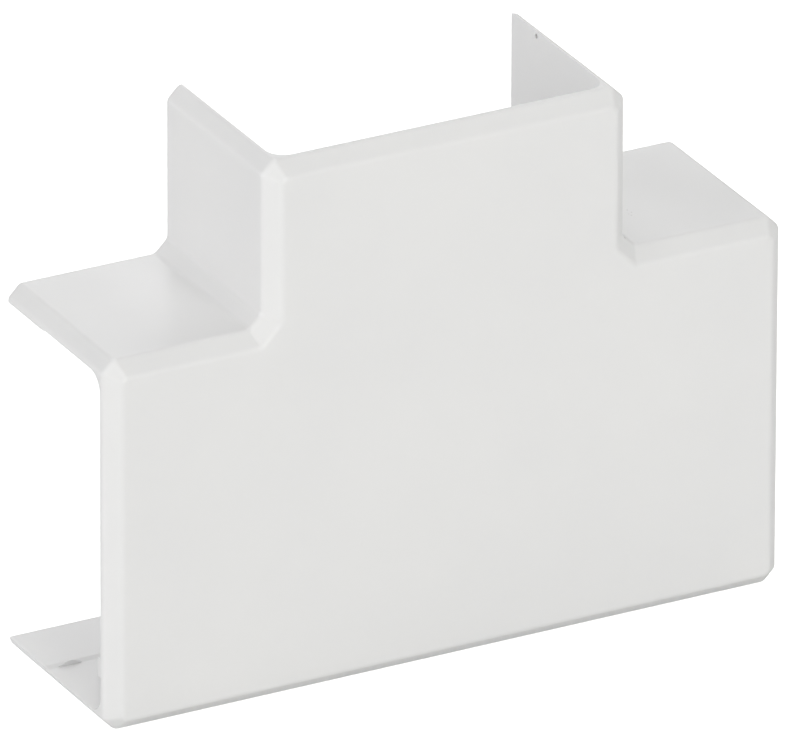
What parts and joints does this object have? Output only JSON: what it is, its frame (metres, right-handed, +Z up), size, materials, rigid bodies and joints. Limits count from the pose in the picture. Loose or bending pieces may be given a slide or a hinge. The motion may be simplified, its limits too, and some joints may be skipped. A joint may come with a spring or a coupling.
{
  "type": "trunking tee fitting",
  "caption": "T-shaped cover for mini trunking, open at the back and at the end of each arm, with bevelled outer edges.",
  "frame": {"origin": "middle of the underside: the centre of the bounding box's bottom face", "axes": "+X along the straight trunking, +Y from the front plate towards the wall behind, +Z up the branch"},
  "size_m": [0.0724, 0.0214, 0.0556],
  "materials": {
    "white_plastic": "satin, as moulded"
  },
  "bodies": {
    "root": {"tee_cover": "white_plastic"}
  },
  "joints": []
}
